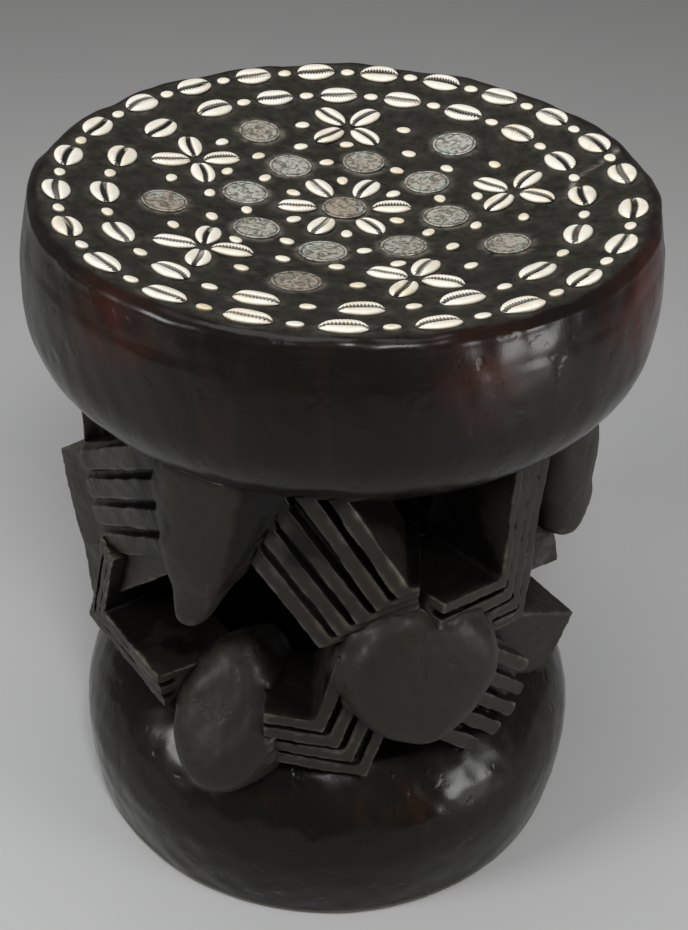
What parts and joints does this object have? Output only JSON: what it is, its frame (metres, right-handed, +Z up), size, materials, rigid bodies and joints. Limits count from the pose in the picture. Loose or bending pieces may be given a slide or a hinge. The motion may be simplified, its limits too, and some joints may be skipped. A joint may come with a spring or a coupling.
{
  "type": "carved stool",
  "caption": "Round carved wooden stool: a thick dished seat inlaid with shells, coins and beads on an openwork wall of stylised spiders over a heavy rounded base.",
  "frame": {"origin": "centre of the base's flat underside, on the floor", "axes": "+Z up; -Y towards the front, the side of the high abdomen seen in the picture; +X to the right as seen from the front"},
  "size_m": [0.3499, 0.35, 0.4223],
  "materials": {
    "dark_wood": "smoke-dark, hand polished",
    "shell": "worn cowrie shell, satin",
    "bead": "worn shell bead, satin",
    "worn_coin": "worn light-alloy coin, rubbed smooth and stained"
  },
  "bodies": {
    "root": {"back_far_leg": "dark_wood", "back_high_abdomen": "dark_wood", "back_high_left_legs": "dark_wood", "back_high_right_legs": "dark_wood", "back_left_hanging_body": "dark_wood", "back_low_abdomen": "dark_wood", "back_low_left_legs": "dark_wood", "back_low_right_legs": "dark_wood", "back_outer_left_legs": "dark_wood", "back_rib_legs": "dark_wood", "back_right_hanging_body": "dark_wood", "back_side_legs": "dark_wood", "base": "dark_wood", "centre_beads": "bead", "centre_coin": "worn_coin", "centre_rosette": "shell", "coin_flank_beads": "bead", "front_far_leg": "dark_wood", "front_high_abdomen": "dark_wood", "front_high_left_legs": "dark_wood", "front_high_right_legs": "dark_wood", "front_left_hanging_body": "dark_wood", "front_low_abdomen": "dark_wood", "front_low_left_legs": "dark_wood", "front_low_right_legs": "dark_wood", "front_outer_left_legs": "dark_wood", "front_rib_legs": "dark_wood", "front_right_hanging_body": "dark_wood", "front_side_legs": "dark_wood", "inner_coin_1": "worn_coin", "inner_coin_2": "worn_coin", "inner_coin_3": "worn_coin", "inner_coin_4": "worn_coin", "inner_coin_5": "worn_coin", "inner_coin_6": "worn_coin", "inner_coin_7": "worn_coin", "inner_coin_8": "worn_coin", "inner_coin_beads": "bead", "outer_coin_1": "worn_coin", "outer_coin_2": "worn_coin", "outer_coin_3": "worn_coin", "outer_coin_4": "worn_coin", "outer_coin_5": "worn_coin", "outer_ring_beads": "bead", "outer_shell_ring": "shell", "rosette_1": "shell", "rosette_2": "shell", "rosette_3": "shell", "rosette_4": "shell", "rosette_5": "shell", "rosette_ring_beads": "bead", "seat": "dark_wood", "second_ring_beads": "bead", "second_shell_ring": "shell"}
  },
  "joints": []
}
